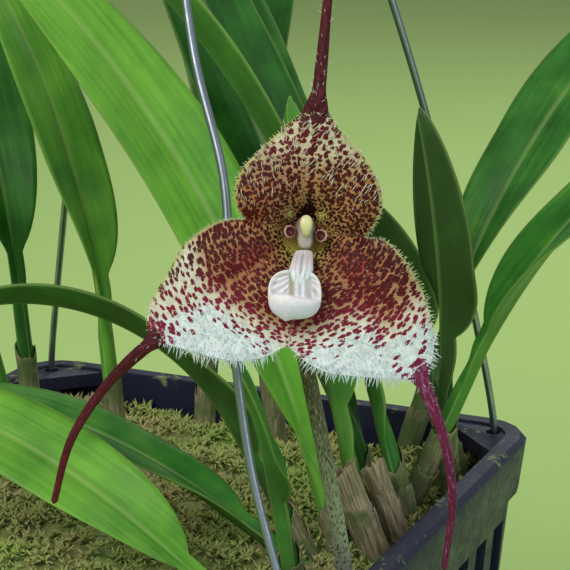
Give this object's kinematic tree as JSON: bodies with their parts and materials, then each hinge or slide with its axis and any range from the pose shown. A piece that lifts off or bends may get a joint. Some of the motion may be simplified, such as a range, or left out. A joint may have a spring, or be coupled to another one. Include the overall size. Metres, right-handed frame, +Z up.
{
  "type": "potted orchid in hanging basket",
  "caption": "Orchid with a triangular spotted flower of joined tailed sepals and a white lip, strap leaves and moss, in a square slatted basket that hangs on wires from a hook.",
  "frame": {"origin": "centre of the flat underside of the basket", "axes": "+Z up along the hanging line; the basket's sides lie along X and Y; the flower stands out over the corner at +X, -Y"},
  "size_m": [0.2556, 0.2086, 0.3392],
  "materials": {
    "moulded_plastic": "injection-moulded, blue-black, satin, with thin green algae on the rim",
    "sphagnum": "damp fibrous moss, matt",
    "galvanised_wire": "zinc-coated, dull grey",
    "leaf_tissue": "leathery green leaf, satin, paler midrib",
    "dry_sheath": "dry papery sheath, grey-brown, matt",
    "scape_tissue": "olive stem mottled with grey-brown, matt",
    "ovary_tissue": "green-brown ribbed ovary, satin",
    "bract_tissue": "papery bract, straw-coloured",
    "sepal_tissue": "cream to yellow-green, densely spotted maroon, furry white below, maroon tails",
    "petal_tissue": "pinkish-white rim round a dark maroon hollow",
    "column_tissue": "pale waxy grey-white",
    "anther_tissue": "pale waxy yellow-green",
    "lip_tissue": "smooth waxy white"
  },
  "bodies": {
    "root": {"basket": "moulded_plastic", "moss": "sphagnum", "wire_front_right": "galvanised_wire", "wire_front_left": "galvanised_wire", "wire_back_left": "galvanised_wire", "wire_back_right": "galvanised_wire", "hanger_hook": "galvanised_wire", "leaf_01": "leaf_tissue", "leaf_02": "leaf_tissue", "leaf_03": "leaf_tissue", "leaf_04": "leaf_tissue", "leaf_05": "leaf_tissue", "leaf_06": "leaf_tissue", "leaf_07": "leaf_tissue", "leaf_08": "leaf_tissue", "leaf_09": "leaf_tissue", "leaf_10": "leaf_tissue", "leaf_11": "leaf_tissue", "leaf_12": "leaf_tissue", "leaf_13": "leaf_tissue", "leaf_14": "leaf_tissue", "leaf_15": "leaf_tissue", "leaf_16": "leaf_tissue", "leaf_17": "leaf_tissue", "leaf_18": "leaf_tissue", "leaf_19": "leaf_tissue", "leaf_20": "leaf_tissue", "old_stem_1": "dry_sheath", "old_stem_2": "dry_sheath", "scape": "scape_tissue", "ovary": "ovary_tissue", "bract": "bract_tissue", "sepals": "sepal_tissue", "petal_left": "petal_tissue", "petal_right": "petal_tissue", "column": "column_tissue", "anther_cap": "anther_tissue", "lip": "lip_tissue"}
  },
  "joints": []
}
